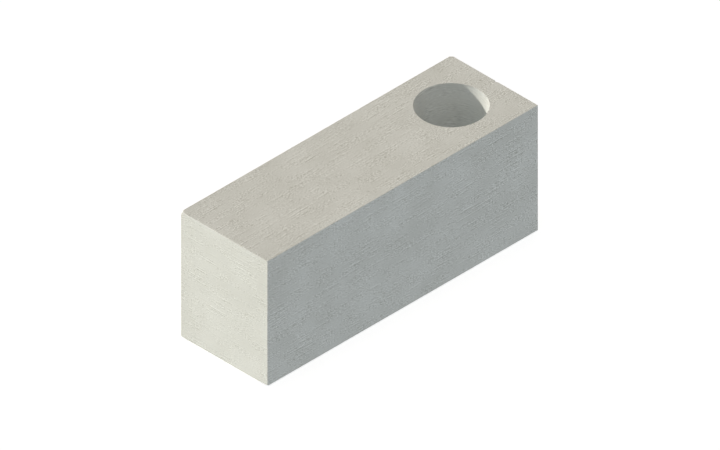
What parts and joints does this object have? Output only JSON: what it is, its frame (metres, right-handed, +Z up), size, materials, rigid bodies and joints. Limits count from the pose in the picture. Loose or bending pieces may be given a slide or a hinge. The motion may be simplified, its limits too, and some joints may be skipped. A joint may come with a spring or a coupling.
{
  "type": "concrete block",
  "caption": "Rectangular aerated-concrete masonry block with a round core hole through one end, for a reinforced concrete core or an upright service run in a wall.",
  "frame": {"origin": "middle of the lower bed face, on the floor", "axes": "+X along the block towards the bored end, +Y across the wall, +Z up along the core hole"},
  "size_m": [0.625, 0.2, 0.25],
  "materials": {
    "aerated_concrete": "matt wire-cut aerated concrete, pale warm grey, with fine straight cutting marks and small open cells"
  },
  "bodies": {
    "root": {"block": "aerated_concrete"}
  },
  "joints": []
}
